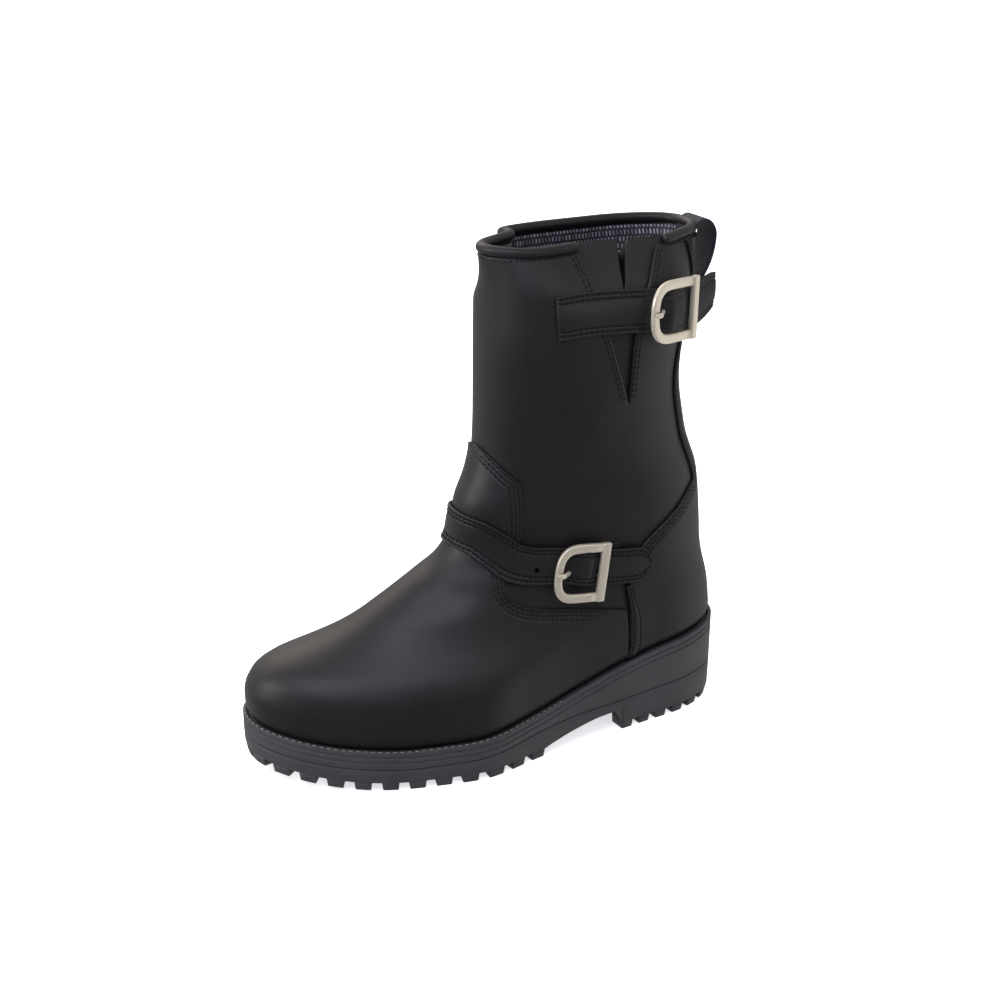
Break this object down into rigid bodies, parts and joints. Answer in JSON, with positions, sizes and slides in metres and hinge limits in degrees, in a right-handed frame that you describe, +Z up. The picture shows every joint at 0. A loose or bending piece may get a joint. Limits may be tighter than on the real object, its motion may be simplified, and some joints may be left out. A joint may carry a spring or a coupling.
{
  "type": "motorcycle boot",
  "caption": "Left pull-on motorcycle boot in black leather with a lugged sole, buckled straps at ankle and collar, an expansion panel and a pull loop.",
  "frame": {"origin": "on the floor under the middle of the boot's box", "axes": "+X to the toe, +Y to the outer side (the wearer's left), +Z up"},
  "size_m": [0.3046, 0.1155, 0.3069],
  "materials": {
    "black_leather": "smooth satin",
    "sole_rubber": "matte",
    "buckle_metal": "satin nickel",
    "loop_webbing": "woven",
    "insole_cloth": "matte"
  },
  "bodies": {
    "root": {"upper": "black_leather", "vamp": "black_leather", "counter": "black_leather", "backstay": "black_leather", "gusset": "black_leather", "collar_piping": "black_leather", "ankle_strap": "black_leather", "ankle_chape": "black_leather", "collar_strap": "black_leather", "midsole": "sole_rubber", "outsole": "sole_rubber", "welt": "sole_rubber", "ankle_buckle_frame": "buckle_metal", "ankle_buckle_prong": "buckle_metal", "collar_buckle_frame": "buckle_metal", "collar_buckle_prong": "buckle_metal", "pull_loop": "loop_webbing", "insole": "insole_cloth"}
  },
  "joints": []
}
